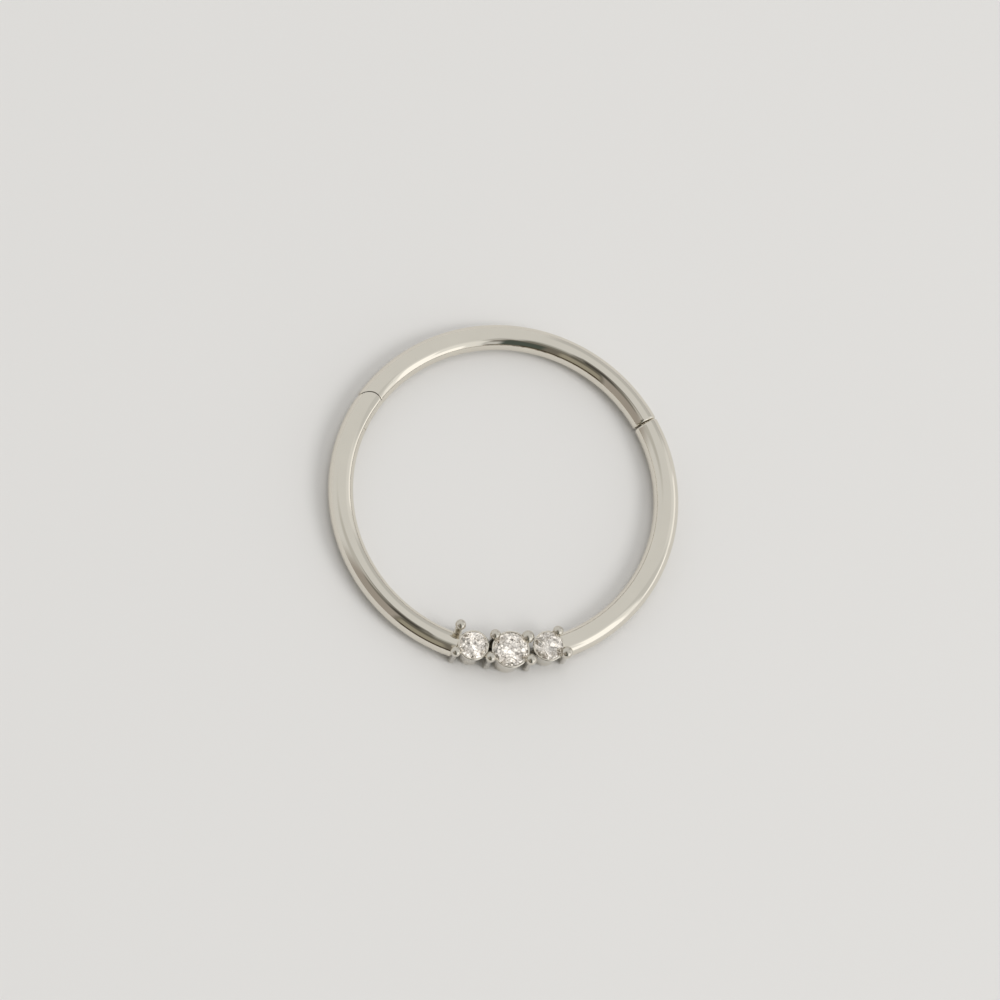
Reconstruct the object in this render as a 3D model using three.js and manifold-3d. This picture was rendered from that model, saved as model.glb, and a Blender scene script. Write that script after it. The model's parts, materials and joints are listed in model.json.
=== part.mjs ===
// A clicker hoop earring, lying on its side: a hoop of round wire with three round stones in a
// shared-prong setting, and an arm that swings on a pin and clicks shut against the hoop's end.
// Units are millimetres. +Z is up, along the hoop's axis, and the surface it lies on is z = 0.
// The origin is the centre of the hoop on that surface, and the setting faces -Y.
// Angles are in degrees, counted from +X towards +Y around the hoop's centre.

import * as THREE from 'three';
import { ConvexGeometry } from 'three/addons/geometries/ConvexGeometry.js';
import { mergeVertices } from 'three/addons/utils/BufferGeometryUtils.js';
import Module from 'manifold-3d';

// ---- Driving dimensions ----

const wireRadius = 0.5; // 18 gauge wire, 1.0 mm thick
const insideDiameter = 12;

const hingeAt = 148.1; // angle of the hinge pin
const pinInset = 0.15; // from the wire's centre line in towards the hoop's centre
const pinRadius = 0.11;
const pinSink = 0.06; // how far the pin's ends lie below the wire's crest
const opening = 45; // how far the arm swings out
const slotWidth = 0.72; // height of the pocket between the hoop's two ears
const leafWidth = 0.66; // height of the arm's hinge leaf, which lies in that pocket
const leafInset = 0.2; // the leaf's back lies this far inside the wire's centre line
const leafEndAt = 155.2; // the leaf lines the inside of the hoop as far as this angle
const leafRoot = 10; // degrees that the leaf runs on into the arm past its shoulder
const knuckleRadius = 0.4; // round of the leaf about the pin
const earShort = 0.01; // the ears' round ends stop this far inside the wire's outside
const mouthSlack = 5; // degrees that the pocket's mouth is wider than the leaf's swing
const shoulderEndAt = 144.8; // the arm's outer shoulder stops at this angle

const claspAt = 27.8; // angle of the joint that clicks shut
const claspGap = { outside: 0.04, inside: 0.09 }; // the joint is a narrow V
const nibRadius = 0.15;
const nibHeight = 0.14;
const dimpleGap = { radius: 0.06, depth: 0.09 }; // the nib's room in its dimple

const runningGap = 0.03; // between faces that slide on each other
const pinGap = 0.02;

const settingAt = 270.3; // angle of the middle stone
const prongRadius = 0.17;
const prongTipRadius = 0.22;
const prongFootZ = 0.06; // the prongs stop just above the surface that the cups stand on
const tieHeight = 0.4; // the bar that ties each pair of prongs together
const tieWidth = 0.24;
const railRadius = 0.22; // the short rail that joins the three cups
const seatGap = 0.03; // around each stone
const cupLip = 0.02; // the cup's rim is this much wider than its seat, and as far below the girdle

// One row a pair of prongs: for its inner and its outer prong, the degrees from the middle stone
// and how far it stands from the wire's centre line, then the height of the tips' centres.
const prongPairs = [
  { inner: [-19.6, -0.63], outer: [-18.3, 0.48], tipZ: 1.3 },
  { inner: [-5.9, -0.54], outer: [-6.8, 0.4], tipZ: 1.36 },
  { inner: [6.5, -0.46], outer: [6.5, 0.47], tipZ: 1.36 },
  { inner: [18.3, -0.46], outer: [18.6, 0.47], tipZ: 1.3 },
];

// One row a stone: its radius, its girdle's height and its place along the hoop, and its cup.
const stones = [
  { name: 'stone_left', radius: 0.55, girdleZ: 1.2, at: settingAt - 13, foot: 0.51, hole: 0.25 },
  { name: 'stone_middle', radius: 0.68, girdleZ: 1.28, at: settingAt, foot: 0.62, hole: 0.31 },
  { name: 'stone_right', radius: 0.56, girdleZ: 1.2, at: settingAt + 13.6, foot: 0.52, hole: 0.26 },
];

// Proportions of a round brilliant, as shares of its radius or its diameter.
const cut = { table: 0.56, star: 0.5, crown: 0.15, girdle: 0.035, pavilion: 0.43, lowerHalf: 0.77 };

// Facet counts of the round shapes.
const wireSides = 22; // with a flat side at the bottom
const hoopSteps = 90;
const hingeSides = 40;
const prongSides = 12;
const prongRings = 4;
const sectorSteps = 24;
const cupSides = 24;
const nibSides = 12;
const nibRings = 8;

// ---- Derived values ----

const hoopRadius = insideDiameter / 2 + wireRadius;
const wireZ = wireRadius; // the wire lies on the surface
const beyond = 3; // safely past any part of the hoop
const pinPlace = onHoop(hingeAt, hoopRadius - pinInset);
const earRadius = wireRadius + pinInset - earShort;
const armHeading = hingeAt - 90; // the way that the closed arm leaves the pin

const polished = { color: 0xd3cbc0, metalness: 1, roughness: 0.16 };
const brilliant = { color: 0xf4f1f4, metalness: 0, roughness: 0.02 };

const wasm = await Module();
wasm.setup();

// ---- Small helpers ----

function radians(degrees) {
  return THREE.MathUtils.degToRad(degrees);
}

// A point on the surface below the hoop, at an angle and a distance from the hoop's centre.
function onHoop(degrees, radius = hoopRadius) {
  const angle = radians(degrees);
  return new THREE.Vector2(radius * Math.cos(angle), radius * Math.sin(angle));
}

// A closed three.js geometry as a solid that can be joined and cut.
function solid(geometry) {
  const bare = geometry.clone();
  bare.deleteAttribute('normal');
  bare.deleteAttribute('uv');
  const merged = mergeVertices(bare, 1e-5);
  const index = merged.index.array;
  const triVerts = new Uint32Array(index.length);
  triVerts.set(index);
  const vertProperties = new Float32Array(merged.attributes.position.array);
  return new wasm.Manifold(new wasm.Mesh({ numProp: 3, vertProperties, triVerts }));
}

// A solid as a named mesh with its own material.
function piece(name, shape, look) {
  const { vertProperties, triVerts } = shape.getMesh();
  const geometry = new THREE.BufferGeometry();
  geometry.setAttribute('position', new THREE.BufferAttribute(vertProperties, 3));
  geometry.setIndex(new THREE.BufferAttribute(triVerts, 1));
  geometry.computeVertexNormals();
  const mesh = new THREE.Mesh(geometry, new THREE.MeshStandardMaterial(look));
  mesh.name = name;
  return mesh;
}

// A flat outline in plan, raised from one height to another.
function prism(outline, fromZ, toZ, curveSegments = hingeSides) {
  const geometry = new THREE.ExtrudeGeometry(outline, {
    depth: toZ - fromZ,
    bevelEnabled: false,
    curveSegments,
  });
  geometry.translate(0, 0, fromZ);
  return solid(geometry);
}

function cylinder(place, radius, fromZ, toZ, sides = hingeSides) {
  const outline = new THREE.Shape();
  outline.absarc(place.x, place.y, radius, 0, 2 * Math.PI, false);
  return prism(outline, fromZ, toZ, sides);
}

// A slice of pie in plan between two angles, about the hoop's centre or another place.
function sector(fromAngle, toAngle, radius = hoopRadius + beyond, place = new THREE.Vector2()) {
  const outline = new THREE.Shape();
  outline.absarc(place.x, place.y, radius, radians(fromAngle), radians(toAngle), false);
  outline.lineTo(place.x, place.y);
  outline.closePath();
  return prism(outline, -beyond, beyond, sectorSteps);
}

// A level slab of the whole hoop, around the wire's mid-height.
function slab(thickness) {
  return cylinder(new THREE.Vector2(), hoopRadius + beyond, wireZ - thickness / 2, wireZ + thickness / 2);
}

// A profile of radius and height, turned about a vertical axis that stands at a place.
function turned(profile, sides, place) {
  const points = profile.map(([radius, z]) => new THREE.Vector2(radius, z));
  const geometry = new THREE.LatheGeometry(points, sides);
  geometry.rotateX(Math.PI / 2);
  geometry.translate(place.x, place.y, 0);
  return solid(geometry);
}

function joined(shapes) {
  return shapes.reduce((whole, next) => whole.add(next));
}

// ---- The wire ----

function wireRing(tubeRadius = wireRadius, centreZ = wireZ) {
  const geometry = new THREE.TorusGeometry(hoopRadius, tubeRadius, wireSides, hoopSteps);
  geometry.translate(0, 0, centreZ);
  return solid(geometry);
}

// ---- The stones ----

// The corners of a round brilliant with its girdle's mid-plane at z = 0 and radius 1.
function brilliantCorners() {
  const halfGirdle = cut.girdle;
  const crownZ = halfGirdle + 2 * cut.crown;
  const culetZ = -halfGirdle - 2 * cut.pavilion;
  const step = radians(22.5);
  const tableFlat = cut.table * Math.cos(step);
  const starRadius = tableFlat + cut.star * (1 - tableFlat);
  const starRun = (1 - starRadius * Math.cos(step)) / (1 - cut.table);
  const lowerRadius = 1 - cut.lowerHalf;
  const lowerRun = 1 - lowerRadius * Math.cos(step);
  const corners = [new THREE.Vector3(0, 0, culetZ)];
  const add = (radius, angle, z) => {
    corners.push(new THREE.Vector3(radius * Math.cos(angle), radius * Math.sin(angle), z));
  };
  for (let i = 0; i < 16; i++) {
    const angle = i * step;
    const onKite = i % 2 === 0;
    add(1, angle, halfGirdle);
    add(1, angle, -halfGirdle);
    if (onKite) add(cut.table, angle, crownZ);
    else add(starRadius, angle, halfGirdle + 2 * cut.crown * starRun);
    if (!onKite) add(lowerRadius, angle, -halfGirdle - 2 * cut.pavilion * lowerRun);
  }
  return corners;
}

// A stone in its place, larger by a gap where it serves to cut its own seat.
function stoneShape(stone, gap = 0) {
  const geometry = new ConvexGeometry(brilliantCorners());
  const place = onHoop(stone.at);
  const size = stone.radius + gap;
  geometry.scale(size, size, size);
  geometry.rotateZ(radians(stone.at));
  geometry.translate(place.x, place.y, stone.girdleZ);
  return solid(geometry);
}

// ---- The setting ----

// A tapered cup below a stone, before its seat and its open foot are cut.
function cup(stone) {
  const rim = stone.radius + seatGap + cupLip;
  const rimZ = stone.girdleZ - cupLip;
  const profile = [[0, 0], [stone.foot, 0], [rim, rimZ], [0, rimZ]];
  return turned(profile, cupSides, onHoop(stone.at));
}

function cupHole(stone) {
  return cylinder(onHoop(stone.at), stone.hole, -beyond, stone.girdleZ, cupSides / 2);
}

// A round prong with a ball tip just above the stones' girdles.
function prong(place, tipZ) {
  const profile = [[0, prongFootZ], [prongRadius, prongFootZ]];
  const neck = Math.asin(prongRadius / prongTipRadius);
  for (let i = 0; i < prongRings; i++) {
    const fromTop = THREE.MathUtils.lerp(Math.PI - neck, 0, i / prongRings);
    profile.push([prongTipRadius * Math.sin(fromTop), tipZ + prongTipRadius * Math.cos(fromTop)]);
  }
  profile.push([0, tipZ + prongTipRadius]);
  return turned(profile, prongSides, place);
}

// The inner and outer prong of one pair, and the bar that ties them together.
function prongPair({ inner, outer, tipZ }) {
  const places = [inner, outer].map(([step, away]) => onHoop(settingAt + step, hoopRadius + away));
  const middle = places[0].clone().lerp(places[1], 0.5);
  const across = places[1].clone().sub(places[0]);
  const tie = new THREE.BoxGeometry(across.length() - prongRadius / 2, tieWidth, tieHeight);
  tie.rotateZ(across.angle());
  tie.translate(middle.x, middle.y, wireZ);
  return joined([...places.map((place) => prong(place, tipZ)), solid(tie)]);
}

function setting() {
  const rail = wireRing(railRadius).intersect(sector(stones[0].at, stones[2].at));
  return joined([...stones.map(cup), ...prongPairs.map(prongPair), rail]);
}

// ---- The hinge and the clasp ----

// All that lies nearer the hoop's centre than the leaf's back, with a gap added behind it.
function withinLeafBack(gap = 0) {
  return cylinder(new THREE.Vector2(), hoopRadius - leafInset + gap, -beyond, beyond, hoopSteps);
}

// The pocket in the hoop's end: round about the pin, open along the inside of the hoop, and
// with a mouth as wide as the leaf needs to swing out.
function hingePocket() {
  const gapAngle = THREE.MathUtils.radToDeg(runningGap / hoopRadius);
  return joined([
    cylinder(pinPlace, knuckleRadius + runningGap, -beyond, beyond),
    sector(armHeading - 90, armHeading + opening + mouthSlack, 2 * earRadius, pinPlace),
    sector(armHeading, leafEndAt + gapAngle).intersect(withinLeafBack(runningGap)),
  ]).intersect(slab(slotWidth));
}

// The arm's leaf: a strip along the inside of the hoop with a knuckle round the pin.
function hingeLeaf() {
  const strip = sector(shoulderEndAt - leafRoot, leafEndAt).intersect(withinLeafBack());
  const knuckle = cylinder(pinPlace, knuckleRadius, -beyond, beyond);
  return wireRing().intersect(joined([strip, knuckle])).intersect(slab(leafWidth));
}

function pinHole() {
  return cylinder(pinPlace, pinRadius + pinGap, -beyond, beyond, hingeSides / 2);
}

// The narrow V between the hoop's end and the arm's end.
function claspCut() {
  const near = hoopRadius - 2 * wireRadius;
  const far = hoopRadius + 2 * wireRadius;
  const halfAngle = (gap, radius) => THREE.MathUtils.radToDeg(gap / 2 / radius);
  const inside = halfAngle(claspGap.inside, hoopRadius - wireRadius);
  const outside = halfAngle(claspGap.outside, hoopRadius + wireRadius);
  const slope = (outside - inside) / (2 * wireRadius);
  const half = (radius) => inside + slope * (radius - hoopRadius + wireRadius);
  const corners = [
    onHoop(claspAt - half(far), far),
    onHoop(claspAt + half(far), far),
    onHoop(claspAt + half(near), near),
    onHoop(claspAt - half(near), near),
  ];
  return prism(new THREE.Shape(corners), -beyond, beyond);
}

// An oval click nib that points along the wire, or the dimple that takes it.
function nib(radius, height) {
  const geometry = new THREE.SphereGeometry(radius, nibSides, nibRings);
  geometry.scale(1, height / radius, 1);
  geometry.rotateZ(radians(claspAt));
  const place = onHoop(claspAt);
  geometry.translate(place.x, place.y, wireZ);
  return solid(geometry);
}

// ---- The pieces ----

function hoopWithSetting() {
  const left = sector(hingeAt, stones[0].at);
  const right = sector(stones[2].at, claspAt + 360);
  const ears = cylinder(pinPlace, earRadius, -beyond, beyond);
  const wire = wireRing().intersect(joined([left, right, ears]));
  const hollows = stones.flatMap((stone) => [cupHole(stone), stoneShape(stone, seatGap)]);
  const dimple = nib(nibRadius + dimpleGap.radius, nibHeight + dimpleGap.depth);
  return [hingePocket(), pinHole(), claspCut(), dimple, ...hollows].reduce(
    (rest, hollow) => rest.subtract(hollow),
    wire.add(setting()),
  );
}

function swingArm() {
  const shoulders = wireRing()
    .intersect(sector(claspAt, shoulderEndAt))
    .subtract(cylinder(pinPlace, earRadius + runningGap, -beyond, beyond))
    .subtract(claspCut());
  return joined([shoulders, hingeLeaf(), nib(nibRadius, nibHeight)]).subtract(pinHole());
}

function hingePin() {
  return cylinder(pinPlace, pinRadius, pinSink, 2 * wireRadius - pinSink, hingeSides / 2);
}

// ---- The earring ----

const earring = new THREE.Group();
earring.add(piece('hoop_with_setting', hoopWithSetting(), polished));
earring.add(piece('swing_arm', swingArm(), polished));
earring.add(piece('hinge_pin', hingePin(), polished));
for (const stone of stones) earring.add(piece(stone.name, stoneShape(stone), brilliant));

export default earring;
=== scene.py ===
"""Clicker hoop earring: a hinged hoop of round wire with three round stones in shared prongs.

The pieces are modelled in millimetres and brought to metres when they are finished.
+Z runs up the hoop's own axis, the surface it lies on is z = 0 and the stones face -Y.
Angles along the wire are counted from +X towards +Y.
"""

import json
import math

import bmesh
import bpy
from bpy.props import FloatProperty, FloatVectorProperty, IntProperty, PointerProperty
from mathutils import Matrix, Vector


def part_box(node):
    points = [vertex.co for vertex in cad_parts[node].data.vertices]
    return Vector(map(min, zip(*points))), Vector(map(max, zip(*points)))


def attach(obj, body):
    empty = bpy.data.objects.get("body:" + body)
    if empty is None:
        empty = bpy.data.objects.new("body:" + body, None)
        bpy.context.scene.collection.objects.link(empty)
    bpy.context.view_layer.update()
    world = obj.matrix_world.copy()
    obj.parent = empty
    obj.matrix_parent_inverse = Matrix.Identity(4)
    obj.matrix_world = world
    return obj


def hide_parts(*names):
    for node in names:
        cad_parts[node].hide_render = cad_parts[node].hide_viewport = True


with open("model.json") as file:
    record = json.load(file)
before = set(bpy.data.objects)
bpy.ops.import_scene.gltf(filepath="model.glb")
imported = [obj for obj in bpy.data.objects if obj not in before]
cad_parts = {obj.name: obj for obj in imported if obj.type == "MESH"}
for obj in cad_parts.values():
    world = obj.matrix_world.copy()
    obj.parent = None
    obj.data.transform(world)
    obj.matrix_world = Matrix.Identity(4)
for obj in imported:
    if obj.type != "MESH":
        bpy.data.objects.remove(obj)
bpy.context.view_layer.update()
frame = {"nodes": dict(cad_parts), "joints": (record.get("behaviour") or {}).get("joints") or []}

bl_info = {
    "name": "Clicker Hoop Earring",
    "version": (1, 0, 0),
    "blender": (4, 5, 0),
    "location": "3D View > Sidebar > Earring",
    "description": "Makes a hinged clicker hoop with three round stones",
    "category": "Add Mesh",
}

MM = 0.001
BEYOND = 3.0  # safely past any part of the wire, in millimetres like all the sizes below
SHARP = math.radians(35)  # an edge this sharp gets rounded
HINGE = frame["joints"][0]
PIN = Vector(HINGE["pos_m"]) / MM
OPENING = math.radians(HINGE["range_deg"][1])
STONES = ("stone_left", "stone_middle", "stone_right")

# The wire: how wide its cut edges are rounded, the room round the pin, the two thin seams along
# the arm's end (how far inside the centre line, how far from mid height) and the clasp's nib.
CUT_EASE = 0.008
PIN_GAP = 0.02
SEAM_NEAR = 0.246
SEAM_FAR = 0.232
SEAM_RISE = 0.43
SEAM_START = math.radians(134.5)
HOOP_END_EASE = 0.02
ARM_END_EASE = 0.09
NIB = (0.15, 0.14)  # its reach and its half height
DIMPLE = (0.21, 0.23)

# Wire, cutters and pockets that are made too long, by these angles, so that a later cut goes
# clean through.
CLASP_SPARE = math.radians(2)
EAR_SPARE = math.radians(9)
EAR_CUT = math.radians(20)
STRIP_SPARE = math.radians(10)
LEAF_SPARE = math.radians(4)
SHOULDER_CUT = math.radians(8)
SWING_SPARE = math.radians(5)
SEAM_STOP = math.radians(4)  # the seams stop this far short of the pin

# A round brilliant's crown height and pavilion slope, and its cup's open foot, foot and the
# thickness of the girdle, as shares of its radius.
CROWN = 0.335
PAVILION = 0.86
HOLE = 0.46
FOOT = 0.91
GIRDLE = 0.035

# The setting: the room left for a stone, the gap and the width of a cup's rim, how wide the
# cups' edges are rounded, how high the prongs start and the rail's thickness.
SEAT_GAP = 0.025
RIM_GAP = 0.008
RIM = 0.065
CUP_EASE = 0.012
PRONG_FOOT = 0.06
RAIL = 0.44

# The finishes: millimetres along the wire for each radian, how deep the metal's waves are, and
# in metres how large a stone's small facets are and how far they lean. Each small facet draws a
# number from 0 to 1: low ones are darkened as painted dark reflections, high ones glow as painted
# glints, with a soft step between.
WIRE_REACH = 6.5
WAVE_DEPTH = 0.006
CELL = 0.00016
CELL_LEAN = 0.07
PAINTED_DARK = (0.12, 0.16)
PAINTED_DARK_TONE = 0.55
PAINTED_FLASHING = (0.85, 0.9)

# The stage, in metres: how far off the lamps hang, half the floor's width, and how far right of
# and above the middle of the picture the hoop's centre comes.
LAMP_DISTANCE = 0.6
FLOOR_REACH = 1.5
AIM_RIGHT = 0.000138
AIM_UP = 0.000186

# One row a pair of prongs. For its inner and its outer prong: the degrees from the middle stone,
# how far it stands from the wire's centre line and its ball's size. Then the tips' height, and
# the width, underside and top of the bar between the two.
PRONGS = (
    ("end_left", (-19.6, -0.63, 1.0), (-18.3, 0.48, 1.0), 1.3, (0.3, 0.3, 0.86)),
    ("shared_left", (-5.9, -0.54, 1.0), (-6.8, 0.4, 1.0), 1.36, (0.24, 0.3, 0.62)),
    ("shared_right", (6.5, -0.46, 1.2), (6.5, 0.47, 1.05), 1.36, (0.24, 0.3, 0.62)),
    ("end_right", (18.3, -0.46, 1.0), (18.6, 0.47, 1.15), 1.3, (0.3, 0.3, 0.86)),
)
WIRE_ENDS = (math.radians(-17.8), math.radians(18.4))  # where the wire meets the setting

# The room round the hoop, painted in this order: middle azimuth, half width, lowest and highest
# elevation, softness across and up, all in degrees, and the brightness beside the plain wall.
ROOM_PATCHES = (
    (49, 19, -60, 38, 3, 7, (0.79, 0.79, 0.79)),
    (350, 9, 14, 58, 4, 4, (0.89, 0.89, 0.89)),
    (18, 14, 15, 45, 4, 6, (1.1, 1.1, 1.1)),
    (10, 12, -14, 19, 2.5, 3, (1.45, 1.45, 1.45)),
    (348, 10, -14, 14, 2, 3, (1.6, 1.6, 1.6)),
    (314, 26, -12, 50, 4, 9, (1.25, 1.25, 1.25)),
    (334, 5, -5, 28, 1.5, 3, (1.4, 1.4, 1.4)),
    (307, 10, -9, 26, 2, 4, (1.76, 1.75, 1.75)),
    (322, 9, -4, 43, 2, 4, (1.76, 1.75, 1.75)),
    (182, 24, 48, 82, 12, 10, (0.76, 0.75, 0.73)),
    (200, 48, 77, 95, 8, 4, (0.38, 0.37, 0.35)),
    (211, 20, -30, 74, 9, 6, (0.53, 0.487, 0.45)),
    (266, 18, 66, 80, 5, 5, (0.62, 0.62, 0.6)),
    (222, 26, 68, 82, 5, 3, (0.28, 0.27, 0.25)),
    (256, 31, -30, 59, 2, 4, (0.25, 0.23, 0.2)),
    (236, 41, 57, 69, 3, 3, (0.3, 0.29, 0.26)),
    (239, 12, 13, 47, 2, 6, (0.48, 0.45, 0.37)),
    (236, 10, 49, 66, 2, 3, (0.2, 0.19, 0.16)),
    (270, 11, 10, 52, 2, 3, (0.115, 0.137, 0.12)),
    (249, 21, -30, 13, 1.5, 2, (0.09, 0.07, 0.045)),
    (284, 4, 10, 35, 2, 3, (0.85, 0.85, 0.85)),
    (224, 13, 63, 80, 3, 3, (0.11, 0.105, 0.095)),
    (288, 5, 46, 66, 3, 4, (0.72, 0.71, 0.7)),
)
WINDOW_PATCHES = (307, 322)


# ---- What a user would change ----


class EarringWire(bpy.types.PropertyGroup):
    """The wire, its hinge and its clasp."""

    thickness: FloatProperty(
        name="Wire thickness",
        description="Diameter of the round wire",
        default=0.001,
        precision=5,
        unit="LENGTH",
    )
    inside_diameter: FloatProperty(
        name="Inside diameter",
        description="Diameter of the clear round inside the hoop",
        default=0.012,
        precision=5,
        unit="LENGTH",
    )
    clasp_angle: FloatProperty(
        name="Clasp",
        description="Where the arm's end meets the hoop's end, along the wire",
        default=math.radians(27.8),
        unit="ROTATION",
    )
    clasp_outside: FloatProperty(
        name="Clasp gap outside",
        description="Width of the clasp's joint at the outside of the hoop",
        default=0.00004,
        precision=6,
        unit="LENGTH",
    )
    clasp_inside: FloatProperty(
        name="Clasp gap inside",
        description="Width of the clasp's joint at the inside of the hoop",
        default=0.00009,
        precision=6,
        unit="LENGTH",
    )
    ear_radius: FloatProperty(
        name="Ear radius",
        description="Round end of the hoop's two ears about the pin",
        default=0.00064,
        precision=6,
        unit="LENGTH",
    )
    knuckle_radius: FloatProperty(
        name="Knuckle radius",
        description="Round of the arm's leaf about the pin",
        default=0.0004,
        precision=6,
        unit="LENGTH",
    )
    slot_width: FloatProperty(
        name="Slot width",
        description="Height of the pocket between the ears",
        default=0.00058,
        precision=6,
        unit="LENGTH",
    )
    leaf_width: FloatProperty(
        name="Leaf width",
        description="Height of the arm's hinge leaf",
        default=0.00054,
        precision=6,
        unit="LENGTH",
    )
    leaf_inset: FloatProperty(
        name="Leaf inset",
        description="The leaf's back lies this far inside the wire's centre line",
        default=0.0002,
        precision=6,
        unit="LENGTH",
    )
    leaf_end: FloatProperty(
        name="Leaf end",
        description="How far along the wire the leaf lines the hoop",
        default=math.radians(155.2),
        unit="ROTATION",
    )
    shoulder_end: FloatProperty(
        name="Shoulder end",
        description="Where the arm's outer shoulder stops along the wire",
        default=math.radians(144.8),
        unit="ROTATION",
    )
    running_gap: FloatProperty(
        name="Running gap",
        description="Room between faces that slide on each other",
        default=0.00003,
        precision=6,
        unit="LENGTH",
    )
    pin_radius: FloatProperty(
        name="Pin radius",
        description="Radius of the hinge pin",
        default=0.00011,
        precision=6,
        unit="LENGTH",
    )
    sides: IntProperty(
        name="Sides",
        description="Faces round the wire",
        default=96,
        min=12,
    )
    step: FloatProperty(
        name="Step",
        description="Length of one face along the wire",
        default=math.radians(0.6),
        unit="ROTATION",
    )


class EarringSetting(bpy.types.PropertyGroup):
    """The cups and the prongs that hold the stones."""

    middle_angle: FloatProperty(
        name="Middle stone",
        description="Where the middle stone sits along the wire",
        default=math.radians(270.3),
        unit="ROTATION",
    )
    prong_radius: FloatProperty(
        name="Prong radius",
        description="Radius of a prong's shaft",
        default=0.00015,
        precision=6,
        unit="LENGTH",
    )
    tip_radius: FloatProperty(
        name="Prong tip radius",
        description="Radius of the ball at a prong's tip",
        default=0.000215,
        precision=6,
        unit="LENGTH",
    )


class EarringLook(bpy.types.PropertyGroup):
    """The finishes, with the stones' painted glow and glints."""

    metal: FloatVectorProperty(
        name="Metal",
        description="Colour of the polished metal",
        default=(0.79, 0.75, 0.667),
        subtype="COLOR",
        size=3,
        min=0,
        max=1,
    )
    metal_roughness: FloatProperty(
        name="Metal roughness",
        description="How dull the polish is",
        default=0.025,
        subtype="FACTOR",
        min=0,
        max=1,
    )
    stone: FloatVectorProperty(
        name="Stones",
        description="Body colour of the stones",
        default=(0.98, 0.93, 0.87),
        subtype="COLOR",
        size=3,
        min=0,
        max=1,
    )
    # Painted glow: emission on the stones' quiet facets.
    stone_painted_glow: FloatVectorProperty(
        name="Stone glow",
        description="Light that a stone's quiet facets throw back",
        default=(0.004, 0.002, 0.0),
        subtype="COLOR",
        size=3,
        min=0,
        max=1,
    )
    # Painted glints: emission on the stones' flashing facets.
    stone_painted_flash: FloatVectorProperty(
        name="Stone flash",
        description="Light that a stone's flashing facets throw back",
        default=(0.4, 0.38, 0.35),
        subtype="COLOR",
        size=3,
        min=0,
        max=1,
    )
    stone_ior: FloatProperty(
        name="Stone refraction",
        description="Index of refraction of the stones",
        default=2.417,
        min=1,
    )


class EarringStage(bpy.types.PropertyGroup):
    """The floor, the light and the camera."""

    floor: FloatVectorProperty(
        name="Floor",
        description="Colour of the floor",
        default=(0.79, 0.783, 0.776),
        subtype="COLOR",
        size=3,
        min=0,
        max=1,
    )
    room: FloatVectorProperty(
        name="Room",
        description="Colour of the pale room all round",
        default=(0.72, 0.72, 0.71),
        subtype="COLOR",
        size=3,
        min=0,
        max=4,
    )
    window: FloatProperty(
        name="Window",
        description="How much brighter the window is than the room",
        default=1.0,
        min=0,
    )
    key_power: FloatProperty(
        name="Key light",
        description="Power of the large soft light on the window's side",
        default=0.97,
        unit="POWER",
        min=0,
    )
    ceiling_power: FloatProperty(
        name="Ceiling light",
        description="Power of the soft light overhead",
        default=0.5,
        unit="POWER",
        min=0,
    )
    camera_azimuth: FloatProperty(
        name="Camera azimuth",
        description="The side that the camera stands on, counted from +X towards +Y",
        default=math.radians(240.5),
        unit="ROTATION",
    )
    camera_elevation: FloatProperty(
        name="Camera elevation",
        description="How high the camera stands above the floor",
        default=math.radians(72),
        unit="ROTATION",
    )
    camera_roll: FloatProperty(
        name="Camera roll",
        description="How far the level line is turned in the frame",
        default=math.radians(29.5),
        unit="ROTATION",
    )
    camera_distance: FloatProperty(
        name="Camera distance",
        description="From the camera to the hoop's centre",
        default=0.4389,
        precision=5,
        unit="LENGTH",
    )
    lens: FloatProperty(
        name="Lens",
        description="Focal length, in millimetres",
        default=400,
    )


# ---- Shader arithmetic ----


class Signal:
    """A node's output socket, on which arithmetic adds Math nodes to the same tree."""

    def __init__(self, tree, socket):
        self.tree = tree
        self.socket = socket

    def math(self, operation, *others):
        operands = [self, *others]
        return self.tree.add(
            "ShaderNodeMath", {"operation": operation}, dict(enumerate(operands))
        )

    def __add__(self, other):
        return self.math("ADD", other)

    def __sub__(self, other):
        return self.math("SUBTRACT", other)

    def __mul__(self, other):
        return self.math("MULTIPLY", other)

    __radd__ = __add__


class Shader:
    """A node tree that is filled in one node at a time."""

    def __init__(self, owner):
        owner.use_nodes = True
        self.nodes = owner.node_tree.nodes
        self.links = owner.node_tree.links
        self.nodes.clear()

    def add(self, kind, settings=None, inputs=None, output=0):
        """A node of a kind, its settings made first, then its sockets' values or links."""
        node = self.nodes.new(kind)
        for name, value in (settings or {}).items():
            if name == "stops":
                self.set_stops(node.color_ramp, value)
            else:
                setattr(node, name, value)
        for key, value in (inputs or {}).items():
            socket = node.inputs[key]
            if isinstance(value, Signal):
                self.links.new(value.socket, socket)
            else:
                socket.default_value = value
        return Signal(self, node.outputs[output]) if node.outputs else node

    def set_stops(self, ramp, stops):
        while len(ramp.elements) < len(stops):
            ramp.elements.new(1.0)
        for element, (position, color) in zip(ramp.elements, stops):
            element.position = position
            element.color = color

    def split(self, vector):
        parts = self.add("ShaderNodeSeparateXYZ", None, {0: vector})
        outputs = parts.socket.node.outputs
        return [Signal(self, outputs[axis]) for axis in "XYZ"]

    def join(self, x, y, z):
        return self.add("ShaderNodeCombineXYZ", None, {"X": x, "Y": y, "Z": z})

    def smooth(self, value, low, high):
        """0 below low, 1 above high, and smooth between; low may be the larger."""
        return self.add(
            "ShaderNodeMapRange",
            {"interpolation_type": "SMOOTHSTEP"},
            {"Value": value, "From Min": low, "From Max": high},
        )

    def noise(self, vector, scale, detail=2.0, roughness=0.5):
        return self.add(
            "ShaderNodeTexNoise",
            None,
            {"Vector": vector, "Scale": scale, "Detail": detail, "Roughness": roughness},
        )

    def mix_color(self, factor, first, second):
        return self.add(
            "ShaderNodeMix",
            {"data_type": "RGBA"},
            {0: factor, 6: first, 7: second},
            output=2,
        )


def rgba(color):
    return (*color, 1.0)


# ---- Finishes, with painted glints, dark reflections and shade ----


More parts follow.
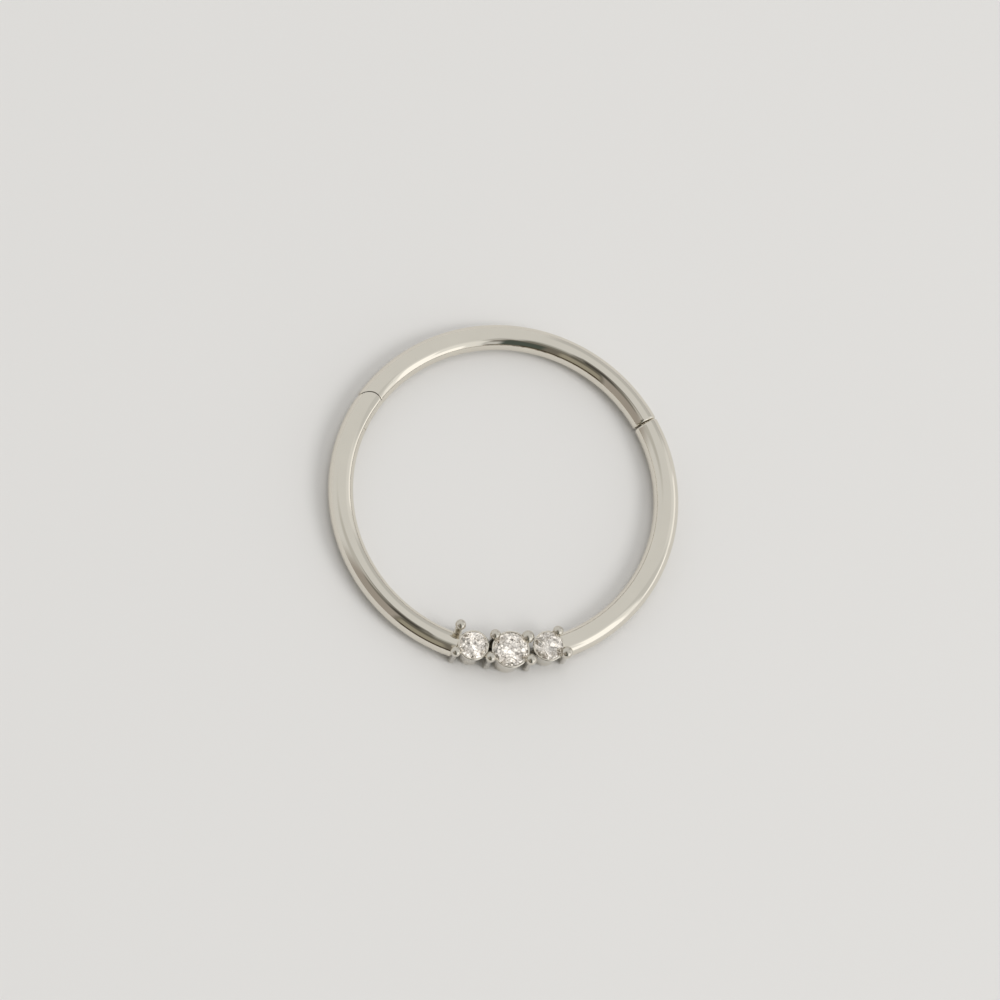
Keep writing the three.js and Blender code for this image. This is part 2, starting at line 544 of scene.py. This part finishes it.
def polished_metal(look, name, roughness_gain=1.0, shade=1.0):
    """Polished white gold with faint lines along the wire and slight waves; shade darkens its
    colour as painted shade.
    """
    material = bpy.data.materials.new(name)
    shader = Shader(material)
    coordinates = shader.add("ShaderNodeTexCoord", output="Object")
    position = shader.add(
        "ShaderNodeVectorMath",
        {"operation": "SCALE"},
        {0: coordinates, "Scale": 1 / MM},
    )
    x, y, z = shader.split(position)
    along = y.math("ARCTAN2", x) * WIRE_REACH
    across = (x * x + y * y).math("SQRT")
    run = shader.join(along * 0.35, across * 9.0, z * 9.0)
    lines = shader.noise(run, 2.2, 4.0, 0.65)
    cloud = shader.noise(position, 0.9, 2.0)
    waves = shader.noise(position, 0.75, 1.0)
    scuffs = shader.smooth(shader.noise(position, 5.0, 3.0, 0.6), 0.56, 0.72)
    roughness = (
        look.metal_roughness * roughness_gain
        + (lines - 0.5) * 0.025
        + scuffs * 0.03
    )
    # The colour wanders at random with the cloud; shade below 1 darkens it as painted shade.
    tone = shader.mix_color(
        cloud,
        rgba([c * shade * 0.97 for c in look.metal]),
        rgba([min(1.0, c * shade * 1.03) for c in look.metal]),
    )
    height = waves * 1.0 + lines * 0.012
    bump = shader.add(
        "ShaderNodeBump",
        None,
        {"Strength": 1.0, "Distance": WAVE_DEPTH * MM, "Height": height},
    )
    surface = shader.add(
        "ShaderNodeBsdfPrincipled",
        None,
        {
            "Base Color": tone,
            "Metallic": 1.0,
            "Roughness": roughness,
            "Normal": bump,
        },
    )
    shader.add("ShaderNodeOutputMaterial", None, {"Surface": surface})
    return material


def clear_stone(look, name):
    """A clear brilliant whose facets break up into small ones, each with its own tilt, some with
    painted glints that glow and some darkened as painted dark reflections.
    """
    material = bpy.data.materials.new(name)
    shader = Shader(material)
    coordinates = shader.add("ShaderNodeTexCoord", output="Object")
    haze = shader.noise(coordinates, 3 / MM, 2.0)
    facing = shader.add("ShaderNodeNewGeometry", output="True Normal")
    facet = shader.add(
        "ShaderNodeVectorMath", {"operation": "SNAP"}, {0: facing, 1: (0.02, 0.02, 0.02)}
    )
    cell = shader.add(
        "ShaderNodeTexVoronoi",
        None,
        {"Vector": coordinates, "Scale": 1 / CELL},
        output="Color",
    )
    own = shader.add("ShaderNodeVectorMath", {"operation": "ADD"}, {0: facet, 1: cell})
    chance = shader.add("ShaderNodeTexWhiteNoise", None, {"Vector": own})
    lean = shader.add(
        "ShaderNodeVectorMath", {"operation": "SUBTRACT"}, {0: cell, 1: (0.5, 0.5, 0.5)}
    )
    lean = shader.add(
        "ShaderNodeVectorMath", {"operation": "SCALE"}, {0: lean, "Scale": CELL_LEAN}
    )
    leaning = shader.add("ShaderNodeVectorMath", {"operation": "ADD"}, {0: facing, 1: lean})
    leaning = shader.add("ShaderNodeVectorMath", {"operation": "NORMALIZE"}, {0: leaning})
    # Painted glints: high draws glow with the flash colour, the others only faintly.
    flash = shader.smooth(chance, *PAINTED_FLASHING)
    glow = shader.mix_color(flash, rgba(look.stone_painted_glow), rgba(look.stone_painted_flash))
    # Painted dark reflections: low draws darken the stone's colour.
    tone = shader.mix_color(
        shader.smooth(chance, *PAINTED_DARK),
        rgba([c * PAINTED_DARK_TONE for c in look.stone]),
        rgba(look.stone),
    )
    surface = shader.add(
        "ShaderNodeBsdfPrincipled",
        None,
        {
            "Base Color": tone,
            "Roughness": haze * 0.02,
            "IOR": look.stone_ior,
            "Transmission Weight": 1.0,
            "Emission Color": glow,
            "Emission Strength": 1.0,
            "Normal": leaning,
        },
    )
    shader.add("ShaderNodeOutputMaterial", None, {"Surface": surface})
    return material


def floor_finish(stage):
    """Plain pale card with the faintest mottling."""
    material = bpy.data.materials.new("pale_floor")
    shader = Shader(material)
    coordinates = shader.add("ShaderNodeTexCoord", output="Object")
    mottle = shader.noise(coordinates, 60.0, 3.0)
    tone = shader.mix_color(
        mottle,
        rgba([c * 0.995 for c in stage.floor]),
        rgba([c * 1.005 for c in stage.floor]),
    )
    surface = shader.add(
        "ShaderNodeBsdfPrincipled",
        None,
        {"Base Color": tone, "Roughness": 0.75, "Specular IOR Level": 0.2},
    )
    shader.add("ShaderNodeOutputMaterial", None, {"Surface": surface})
    return material


# ---- Building in millimetres ----


def on_wire(angle, radius, height=0.0):
    return Vector((radius * math.cos(angle), radius * math.sin(angle), height))


def toward(azimuth, elevation):
    """The unit vector that points to an azimuth and an elevation."""
    level = math.cos(elevation)
    return Vector(
        (math.cos(azimuth) * level, math.sin(azimuth) * level, math.sin(elevation))
    )


def cap_holes(bm):
    """Closes every open rim with one face and returns the rims' edges."""
    rims = [edge for edge in bm.edges if edge.is_boundary]
    bmesh.ops.holes_fill(bm, edges=rims, sides=0)
    return rims


def wire_run(wire, start, end, thickness=None):
    """A closed run of round wire between two angles."""
    radius = (thickness or wire.thickness) / MM / 2
    centre = wire.inside_diameter / MM / 2 + wire.thickness / MM / 2
    place = (
        Matrix.Rotation(start, 4, "Z")
        @ Matrix.Translation((centre, 0, wire.thickness / MM / 2))
        @ Matrix.Rotation(math.pi / 2, 4, "X")
    )
    bm = bmesh.new()
    bmesh.ops.create_circle(bm, segments=wire.sides, radius=radius, matrix=place)
    bmesh.ops.spin(
        bm,
        geom=bm.verts[:] + bm.edges[:],
        cent=(0, 0, 0),
        axis=(0, 0, 1),
        angle=end - start,
        steps=math.ceil((end - start) / wire.step),
    )
    cap_holes(bm)
    bmesh.ops.recalc_face_normals(bm, faces=bm.faces)
    return bm


def round_bar(place, radius, low, high, segments=96):
    """An upright closed cylinder."""
    bm = bmesh.new()
    bmesh.ops.create_cone(
        bm,
        cap_ends=True,
        segments=segments,
        radius1=radius,
        radius2=radius,
        depth=high - low,
        matrix=Matrix.Translation((place.x, place.y, (low + high) / 2)),
    )
    return bm


def swept_block(centre, near, far, low, high, start, end):
    """An upright rectangle swept about an upright axis between two angles."""
    bm = bmesh.new()
    middle = Vector(((near + far) / 2, 0, (low + high) / 2))
    place = (
        Matrix.Translation((centre.x, centre.y, 0))
        @ Matrix.Rotation(start, 4, "Z")
        @ Matrix.Translation(middle)
        @ Matrix.Rotation(math.pi / 2, 4, "X")
        @ Matrix.Diagonal((far - near, high - low, 1, 1))
    )
    bmesh.ops.create_grid(bm, x_segments=1, y_segments=1, size=0.5, matrix=place)
    bmesh.ops.delete(bm, geom=bm.faces[:], context="FACES_ONLY")
    bmesh.ops.spin(
        bm,
        geom=bm.verts[:] + bm.edges[:],
        cent=(centre.x, centre.y, 0),
        axis=(0, 0, 1),
        angle=end - start,
        steps=max(2, math.ceil((end - start) / math.radians(1.5))),
    )
    cap_holes(bm)
    bmesh.ops.remove_doubles(bm, verts=bm.verts, dist=1e-5)
    bmesh.ops.recalc_face_normals(bm, faces=bm.faces)
    return bm


def turned(profile, place, segments, closed=False):
    """A profile of (radius, height) points turned about an upright axis at a place."""
    bm = bmesh.new()
    corners = [bm.verts.new((radius, 0, z)) for radius, z in profile]
    pairs = list(zip(corners, corners[1:]))
    if closed:
        pairs.append((corners[-1], corners[0]))
    for pair in pairs:
        bm.edges.new(pair)
    bmesh.ops.spin(
        bm,
        geom=bm.verts[:] + bm.edges[:],
        cent=(0, 0, 0),
        axis=(0, 0, 1),
        angle=2 * math.pi,
        steps=segments,
        use_merge=True,
    )
    bmesh.ops.remove_doubles(bm, verts=bm.verts, dist=1e-5)
    bmesh.ops.recalc_face_normals(bm, faces=bm.faces)
    bmesh.ops.translate(bm, verts=bm.verts, vec=place)
    return bm


def temporary(bm, name):
    mesh = bpy.data.meshes.new(name)
    bm.to_mesh(mesh)
    thing = bpy.data.objects.new(name, mesh)
    bpy.context.scene.collection.objects.link(thing)
    return thing


def discard(thing):
    mesh = thing.data
    bpy.data.objects.remove(thing)
    bpy.data.meshes.remove(mesh)


def carve(bm, cutter, operation="DIFFERENCE"):
    """Cuts one closed shape with another, which is used up."""
    work = temporary(bm, "work")
    tool = temporary(cutter, "tool")
    cutter.free()
    modifier = work.modifiers.new("carve", "BOOLEAN")
    modifier.operation = operation
    modifier.solver = "EXACT"
    modifier.object = tool
    bpy.context.view_layer.update()
    evaluated = work.evaluated_get(bpy.context.evaluated_depsgraph_get())
    result = bpy.data.meshes.new_from_object(evaluated)
    bm.clear()
    bm.from_mesh(result)
    bpy.data.meshes.remove(result)
    discard(work)
    discard(tool)
    return bm


def sharp_edges(bm):
    return [e for e in bm.edges if e.is_manifold and e.calc_face_angle(0) > SHARP]


def ease_cuts(bm):
    """Rounds the sharp edges that cutting leaves, after drawing nearby small faces into them."""
    bmesh.ops.remove_doubles(bm, verts=bm.verts, dist=0.002)
    bmesh.ops.dissolve_degenerate(bm, dist=0.001, edges=bm.edges)
    corners = list({v for e in sharp_edges(bm) for v in e.verts})
    near = bmesh.ops.find_doubles(
        bm, verts=bm.verts, keep_verts=corners, dist=CUT_EASE * 1.3
    )
    bmesh.ops.weld_verts(bm, targetmap=near["targetmap"])
    bmesh.ops.dissolve_degenerate(bm, dist=0.001, edges=bm.edges)
    bmesh.ops.bevel(
        bm,
        geom=sharp_edges(bm),
        offset=CUT_EASE,
        segments=2,
        profile=0.5,
        affect="EDGES",
        material=-1,
    )
    return bm


def finished(bm, name, material, body, *nodes):
    """A piece in metres with its finish, riding on its body and standing for its CAD nodes."""
    bmesh.ops.scale(bm, vec=(MM, MM, MM), verts=bm.verts)
    for face in bm.faces:
        face.smooth = True
    mesh = bpy.data.meshes.new(name)
    bm.to_mesh(mesh)
    bm.free()
    mesh.set_sharp_from_angle(angle=math.radians(50))
    mesh.materials.append(material)
    piece = bpy.data.objects.new(name, mesh)
    bpy.context.scene.collection.objects.link(piece)
    weighted = piece.modifiers.new("even shading", "WEIGHTED_NORMAL")
    weighted.keep_sharp = True
    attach(piece, body)
    if nodes:
        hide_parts(*nodes)
    return piece


# ---- The wire's pieces ----


def sizes(wire):
    """The wire's measures in millimetres."""
    radius = wire.thickness / MM / 2
    return {
        "radius": radius,
        "centre": wire.inside_diameter / MM / 2 + radius,
        "height": radius,
        "gap": wire.running_gap / MM,
        "ear": wire.ear_radius / MM,
        "knuckle": wire.knuckle_radius / MM,
        "slot": wire.slot_width / MM,
        "leaf": wire.leaf_width / MM,
        "inset": wire.leaf_inset / MM,
        "pin": wire.pin_radius / MM,
        "hinge_angle": math.atan2(PIN.y, PIN.x),
    }


def clasp_plane(wire, side):
    """A point and a normal of one face of the clasp's narrow V.

    The side is -1 for the hoop and 1 for the arm.
    """
    size = sizes(wire)
    inner = size["centre"] - size["radius"]
    outer = size["centre"] + size["radius"]
    along = Vector((-math.sin(wire.clasp_angle), math.cos(wire.clasp_angle), 0))
    near = on_wire(wire.clasp_angle, inner) + side * wire.clasp_inside / MM / 2 * along
    far = on_wire(wire.clasp_angle, outer) + side * wire.clasp_outside / MM / 2 * along
    normal = (far - near).cross(Vector((0, 0, 1))).normalized()
    if normal.dot(along) * side > 0:
        normal.negate()
    return near, normal


def trim_at_clasp(bm, wire, side, ease, segments):
    """Cuts the run's end to the clasp's face and eases its rim."""
    size = sizes(wire)
    point, normal = clasp_plane(wire, side)
    point -= normal * ease
    clasp = on_wire(wire.clasp_angle, size["centre"], size["height"])
    near = [face for face in bm.faces if (face.calc_center_median() - clasp).length < BEYOND]
    edges = {edge for face in near for edge in face.edges}
    corners = {corner for face in near for corner in face.verts}
    bmesh.ops.bisect_plane(
        bm,
        geom=[*corners, *edges, *near],
        dist=1e-5,
        plane_co=point,
        plane_no=normal,
    )
    past = [
        corner
        for corner in bm.verts
        if (corner.co - point).dot(normal) > 1e-4 and (corner.co - clasp).length < BEYOND
    ]
    bmesh.ops.delete(bm, geom=past, context="VERTS")
    rim = [edge for edge in bm.edges if edge.is_boundary]
    reach, radius = 0.0, size["radius"]
    for i in range(1, segments + 1):
        turn = i / segments * math.pi / 2
        next_reach = ease * math.sin(turn)
        next_radius = size["radius"] - ease * (1 - math.cos(turn))
        made = bmesh.ops.extrude_edge_only(bm, edges=rim)["geom"]
        corners = [item for item in made if isinstance(item, bmesh.types.BMVert)]
        rim = [item for item in made if isinstance(item, bmesh.types.BMEdge)]
        centre = sum((corner.co for corner in corners), Vector()) / len(corners)
        growth = next_radius / radius
        bmesh.ops.scale(
            bm, vec=(growth,) * 3, space=Matrix.Translation(-centre), verts=corners
        )
        bmesh.ops.translate(bm, vec=normal * (next_reach - reach), verts=corners)
        reach, radius = next_reach, next_radius
    cap_holes(bm)
    bmesh.ops.recalc_face_normals(bm, faces=bm.faces)
    return bm


def click_nib(wire, radius, height):
    """The oval nib on the arm's end, or the dimple that takes it."""
    size = sizes(wire)
    place = (
        Matrix.Translation(on_wire(wire.clasp_angle, size["centre"], size["height"]))
        @ Matrix.Rotation(wire.clasp_angle, 4, "Z")
        @ Matrix.Diagonal((1, height / radius, 1, 1))
    )
    bm = bmesh.new()
    bmesh.ops.create_uvsphere(
        bm, u_segments=32, v_segments=16, radius=radius, matrix=place
    )
    return bm


def leaf_solid(wire, extra=0.0):
    """The strip along the inside of the hoop with its knuckle; extra widens it into the pocket."""
    size = sizes(wire)
    height = (size["slot"] if extra else size["leaf"]) / 2
    low, high = size["height"] - height, size["height"] + height
    back = size["centre"] - size["inset"] + extra
    strip = swept_block(
        Vector((0, 0, 0)),
        size["centre"] - BEYOND,
        back,
        low,
        high,
        wire.shoulder_end - STRIP_SPARE,
        wire.leaf_end + extra / size["centre"],
    )
    knuckle = round_bar(PIN, size["knuckle"] + extra, low, high)
    return carve(strip, knuckle, "UNION")


def hoop_wire(wire, setting):
    """Both arcs of the hoop, with the ears, the pocket and the clasp's end."""
    size = sizes(wire)
    heading = size["hinge_angle"] - math.pi / 2
    left = wire_run(
        wire,
        size["hinge_angle"] - EAR_SPARE,
        setting.middle_angle + WIRE_ENDS[0],
    )
    past_ears = swept_block(
        Vector((0, 0, 0)),
        size["centre"] - BEYOND / 2,
        size["centre"] + BEYOND / 2,
        -BEYOND,
        BEYOND,
        size["hinge_angle"] - EAR_CUT,
        size["hinge_angle"],
    )
    ears = round_bar(PIN, size["ear"], -2 * BEYOND, 2 * BEYOND, 180)
    carve(left, carve(past_ears, ears))
    carve(left, leaf_solid(wire, size["gap"]))
    mouth = swept_block(
        PIN,
        0.0,
        2 * size["ear"],
        size["height"] - size["slot"] / 2,
        size["height"] + size["slot"] / 2,
        heading - math.pi / 2,
        heading + OPENING + SWING_SPARE,
    )
    carve(left, mouth)
    ease_cuts(left)
    right = wire_run(
        wire,
        setting.middle_angle + WIRE_ENDS[1],
        wire.clasp_angle + 2 * math.pi + CLASP_SPARE,
    )
    trim_at_clasp(right, wire, -1, HOOP_END_EASE, 3)
    carve(right, click_nib(wire, *DIMPLE))
    return [left, right]


def arm_wire(wire):
    """The swinging arm with its hinge leaf and click nib."""
    size = sizes(wire)
    arm = wire_run(
        wire,
        wire.clasp_angle - CLASP_SPARE,
        wire.leaf_end + LEAF_SPARE,
    )
    trim_at_clasp(arm, wire, 1, ARM_END_EASE, 5)
    hinge_room = round_bar(PIN, size["ear"] + size["gap"], -2 * BEYOND, 2 * BEYOND, 180)
    past_shoulder = swept_block(
        Vector((0, 0, 0)),
        size["centre"] - BEYOND / 2,
        size["centre"] + BEYOND / 2,
        -BEYOND,
        BEYOND,
        wire.shoulder_end,
        wire.leaf_end + SHOULDER_CUT,
    )
    carve(hinge_room, past_shoulder, "UNION")
    carve(hinge_room, leaf_solid(wire))
    carve(arm, hinge_room)
    carve(arm, round_bar(PIN, size["pin"] + PIN_GAP, -BEYOND, BEYOND, 48))
    ease_cuts(arm)
    top, bottom = size["height"] + SEAM_RISE, size["height"] - SEAM_RISE
    for low, high in ((top, BEYOND), (-BEYOND, bottom)):
        seam = swept_block(
            Vector((0, 0, 0)),
            size["centre"] - SEAM_NEAR,
            size["centre"] - SEAM_FAR,
            low,
            high,
            SEAM_START,
            size["hinge_angle"] - SEAM_STOP,
        )
        carve(arm, seam)
    carve(arm, click_nib(wire, *NIB), "UNION")
    return arm


# ---- The setting ----


def stone_sizes(name):
    """A stone's centre, radius and girdle height in millimetres, from its own box."""
    low, high = (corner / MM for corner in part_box(name))
    radius = (high.x - low.x + high.y - low.y) / 4
    place = Vector(((low.x + high.x) / 2, (low.y + high.y) / 2, 0))
    return place, radius, high.z - CROWN * radius


def stone_room(name):
    """The room for a stone and the open foot below it, as one solid to cut away."""
    place, radius, girdle = stone_sizes(name)
    hole = HOLE * radius
    seat = radius + SEAT_GAP
    profile = [
        (0, -BEYOND),
        (hole, -BEYOND),
        (hole, girdle - 0.05 - (seat - hole) * PAVILION),
        (seat, girdle - 0.05),
        (seat, BEYOND),
        (0, BEYOND),
    ]
    return turned(profile, place, 96)


def cup(name):
    """A tapered cup round a stone, open below, with a thin bright rim."""
    place, radius, girdle = stone_sizes(name)
    hole = HOLE * radius
    seat = radius + RIM_GAP
    foot = FOOT * radius
    rim = girdle + 0.02
    shelf = girdle - GIRDLE * radius - RIM_GAP
    profile = [
        (hole, 0),
        (foot, 0),
        (foot + 0.012, rim * 0.3),
        (seat + 0.02, rim * 0.75),
        (seat + RIM, rim - 0.02),
        (seat + RIM * 0.6, rim),
        (seat, rim),
        (seat, shelf),
        (hole, shelf - (seat - hole) * PAVILION),
    ]
    bm = turned(profile, place, 96, closed=True)
    bmesh.ops.bevel(
        bm,
        geom=sharp_edges(bm),
        offset=CUP_EASE,
        segments=3,
        profile=0.5,
        affect="EDGES",
        material=-1,
    )
    return bm


def prong(setting, place, tip_height, ball_size):
    """An upright round prong with a ball tip."""
    shaft = setting.prong_radius / MM
    ball = setting.tip_radius / MM * ball_size
    neck = math.pi - math.asin(shaft * 0.93 / ball)
    profile = [(0, PRONG_FOOT), (shaft - 0.02, PRONG_FOOT), (shaft, PRONG_FOOT + 0.02)]
    for i in range(15):
        turn = neck * (1 - i / 14)
        profile.append((ball * math.sin(turn), tip_height + ball * math.cos(turn)))
    profile[-1] = (0, tip_height + ball)
    return turned(profile, place, 40)


def tie_bar(inner, outer, width, low, high):
    """The flat bar between the two prongs of a pair."""
    across = outer - inner
    middle = (inner + outer) / 2
    place = (
        Matrix.Translation((middle.x, middle.y, (low + high) / 2))
        @ Matrix.Rotation(math.atan2(across.y, across.x), 4, "Z")
        @ Matrix.Diagonal((across.length, width, high - low, 1))
    )
    bm = bmesh.new()
    bmesh.ops.create_cube(bm, size=1.0, matrix=place)
    bmesh.ops.bevel(
        bm,
        geom=bm.edges[:],
        offset=0.03,
        segments=4,
        profile=0.5,
        affect="EDGES",
        material=-1,
    )
    return bm


# ---- Operators ----


class EARRING_OT_hoop(bpy.types.Operator):
    """Make the hoop's wire with the ears of its hinge"""

    bl_idname = "earring.hoop"
    bl_label = "Hoop"

    def execute(self, context):
        scene = context.scene
        material = polished_metal(scene.earring_look, "polished_wire")
        left, right = hoop_wire(scene.earring_wire, scene.earring_setting)
        finished(left, "hoop_hinge_side", material, "hoop", "hoop_with_setting")
        finished(right, "hoop_clasp_side", material, "hoop")
        return {"FINISHED"}


class EARRING_OT_arm(bpy.types.Operator):
    """Make the arm that swings on the pin"""

    bl_idname = "earring.arm"
    bl_label = "Swing arm"

    def execute(self, context):
        scene = context.scene
        material = polished_metal(scene.earring_look, "polished_arm")
        arm = arm_wire(scene.earring_wire)
        finished(arm, "swinging_arm", material, "arm", "swing_arm")
        return {"FINISHED"}


class EARRING_OT_pin(bpy.types.Operator):
    """Give the hidden hinge pin its finish"""

    bl_idname = "earring.pin"
    bl_label = "Hinge pin"

    def execute(self, context):
        material = polished_metal(context.scene.earring_look, "pin_wire", roughness_gain=1.5)
        for slot in frame["nodes"]["hinge_pin"].material_slots:
            slot.material = material
        return {"FINISHED"}


class EARRING_OT_cups(bpy.types.Operator):
    """Make the three cups that the stones sit in"""

    bl_idname = "earring.cups"
    bl_label = "Cups"

    def execute(self, context):
        look = context.scene.earring_look
        material = polished_metal(look, "polished_cups", roughness_gain=1.3)
        for name in STONES:
            finished(cup(name), name.replace("stone", "cup"), material, "hoop")
        return {"FINISHED"}


class EARRING_OT_prongs(bpy.types.Operator):
    """Make the four pairs of prongs, their bars and the short rail"""

    bl_idname = "earring.prongs"
    bl_label = "Prongs"

    def execute(self, context):
        scene = context.scene
        wire = scene.earring_wire
        setting = scene.earring_setting
        look = scene.earring_look
        # Painted shade: the prongs take the metal darkened by shade.
        material = polished_metal(look, "polished_prongs_painted_shade", roughness_gain=1.2, shade=0.86)
        # Painted shade: a dark, dull copy of the metal for the shared bars and the rail, for the
        # shadow in the slots between the cups.
        shaded_recess_metal = polished_metal(look, "dull_recess_painted_shade", roughness_gain=6.0, shade=0.22)
        centre = sizes(wire)["centre"]
        for pair, inner, outer, tip_height, bar_size in PRONGS:
            places = []
            for row, (step, away, ball_size) in (("inner", inner), ("outer", outer)):
                angle = setting.middle_angle + math.radians(step)
                places.append(on_wire(angle, centre + away))
                shape = prong(setting, places[-1], tip_height, ball_size)
                finished(shape, f"prong_{pair}_{row}", material, "hoop")
            bar = tie_bar(*places, *bar_size)
            # The shared bars take the painted shade copy; the end bars take the plain metal.
            bar_metal_or_painted_shade = shaded_recess_metal if pair.startswith("shared") else material
            finished(bar, f"tie_{pair}", bar_metal_or_painted_shade, "hoop")
        left, right = (stone_sizes(name)[0] for name in (STONES[0], STONES[-1]))
        rail = wire_run(
            wire,
            math.atan2(left.y, left.x) % math.tau,
            math.atan2(right.y, right.x) % math.tau,
            RAIL * MM,
        )
        for name in STONES:
            carve(rail, stone_room(name))
        # The rail takes the painted shade copy.
        finished(rail, "setting_rail", shaded_recess_metal, "hoop")
        return {"FINISHED"}


class EARRING_OT_stones(bpy.types.Operator):
    """Give the stones their clear finish"""

    bl_idname = "earring.stones"
    bl_label = "Stones"

    def execute(self, context):
        material = clear_stone(context.scene.earring_look, "clear_brilliant")
        for name in STONES:
            stone = frame["nodes"][name]
            for slot in stone.material_slots:
                slot.material = material
        return {"FINISHED"}


class EARRING_OT_stage(bpy.types.Operator):
    """Lay the floor, light the room and stand the camera"""

    bl_idname = "earring.stage"
    bl_label = "Stage"

    def execute(self, context):
        scene = context.scene
        stage = scene.earring_stage
        self.lay_floor(scene, stage)
        self.light_room(scene, stage)
        self.stand_camera(scene, stage)
        return {"FINISHED"}

    def lay_floor(self, scene, stage):
        bm = bmesh.new()
        bmesh.ops.create_grid(bm, x_segments=1, y_segments=1, size=FLOOR_REACH)
        mesh = bpy.data.meshes.new("floor")
        bm.to_mesh(mesh)
        bm.free()
        mesh.materials.append(floor_finish(stage))
        floor = bpy.data.objects.new("floor", mesh)
        scene.collection.objects.link(floor)

    def light_room(self, scene, stage):
        world = bpy.data.worlds.new("room")
        scene.world = world
        shader = Shader(world)
        direction = shader.add("ShaderNodeTexCoord", output="Generated")
        x, y, z = shader.split(direction)
        degrees = 180 / math.pi
        azimuth = y.math("ARCTAN2", x) * degrees
        azimuth = (azimuth + 360).math("MODULO", 360)
        elevation = z.math("ARCSINE") * degrees

        light = rgba(stage.room)
        for middle, half, low, high, edge, rise, tint in ROOM_PATCHES:
            turn = (azimuth - middle + 540).math("MODULO", 360)
            aside = (turn - 180).math("ABSOLUTE")
            mask = (
                shader.smooth(aside, half + edge, half - edge)
                * shader.smooth(elevation, low - rise, low + rise)
                * shader.smooth(elevation, high + rise, high - rise)
            )
            patch = [c * t for c, t in zip(stage.room, tint)]
            if middle in WINDOW_PATCHES:
                patch = [c * stage.window for c in patch]
            light = shader.mix_color(mask, light, rgba(patch))
        background = shader.add(
            "ShaderNodeBackground", None, {"Color": light, "Strength": 1.0}
        )
        shader.add("ShaderNodeOutputWorld", None, {"Surface": background})

        self.hang_lamp(
            scene, "window_light", stage.key_power, heading=335, rise=47, size=0.24
        )
        self.hang_lamp(
            scene, "ceiling_light", stage.ceiling_power, heading=60, rise=84, size=0.3
        )

    def hang_lamp(self, scene, name, power, heading, rise, size):
        """A square soft light that faces the hoop and doesn't show in the metal or the stones."""
        data = bpy.data.lights.new(name, "AREA")
        data.size = size
        data.energy = power
        data.color = (1.0, 0.99, 0.975)
        lamp = bpy.data.objects.new(name, data)
        scene.collection.objects.link(lamp)
        away = toward(math.radians(heading), math.radians(rise))
        lamp.location = away * LAMP_DISTANCE
        lamp.rotation_euler = away.to_track_quat("Z", "Y").to_euler()
        lamp.visible_camera = False
        lamp.visible_glossy = False
        lamp.visible_transmission = False

    def stand_camera(self, scene, stage):
        azimuth = stage.camera_azimuth
        back = toward(azimuth, stage.camera_elevation)
        level = Vector((-math.sin(azimuth), math.cos(azimuth), 0))
        rise = back.cross(level)
        right = math.cos(stage.camera_roll) * level + math.sin(stage.camera_roll) * rise
        up = math.cos(stage.camera_roll) * rise - math.sin(stage.camera_roll) * level
        centre = Vector((0, 0, 0.5)) * MM
        aim = centre - right * AIM_RIGHT - up * AIM_UP
        data = bpy.data.cameras.new("camera")
        data.lens = stage.lens
        data.clip_start = 0.001
        data.clip_end = 10.0
        camera = bpy.data.objects.new("camera", data)
        turn = Matrix((right, up, back)).transposed().to_4x4()
        camera.matrix_world = (
            Matrix.Translation(aim + back * stage.camera_distance) @ turn
        )
        scene.collection.objects.link(camera)
        scene.camera = camera
        scene.view_settings.view_transform = "Standard"


class EARRING_PT_sidebar(bpy.types.Panel):
    """Lists the earring's pieces in the sidebar"""

    bl_label = "Clicker Hoop Earring"
    bl_idname = "EARRING_PT_sidebar"
    bl_space_type = "VIEW_3D"
    bl_region_type = "UI"
    bl_category = "Earring"

    def draw(self, context):
        for operator in OPERATORS:
            self.layout.operator(operator.bl_idname)


OPERATORS = (
    EARRING_OT_stage,
    EARRING_OT_hoop,
    EARRING_OT_arm,
    EARRING_OT_pin,
    EARRING_OT_cups,
    EARRING_OT_prongs,
    EARRING_OT_stones,
)
GROUPS = {
    "earring_wire": EarringWire,
    "earring_setting": EarringSetting,
    "earring_look": EarringLook,
    "earring_stage": EarringStage,
}


def register():
    for cls in (*GROUPS.values(), *OPERATORS, EARRING_PT_sidebar):
        bpy.utils.register_class(cls)
    for name, group in GROUPS.items():
        setattr(bpy.types.Scene, name, PointerProperty(type=group))


def unregister():
    for name in GROUPS:
        delattr(bpy.types.Scene, name)
    for cls in (EARRING_PT_sidebar, *reversed(OPERATORS), *reversed(GROUPS.values())):
        bpy.utils.unregister_class(cls)


def main():
    register()
    for operator in OPERATORS:
        getattr(bpy.ops.earring, operator.bl_idname.split(".")[1])()


if __name__ == "__main__":
    main()
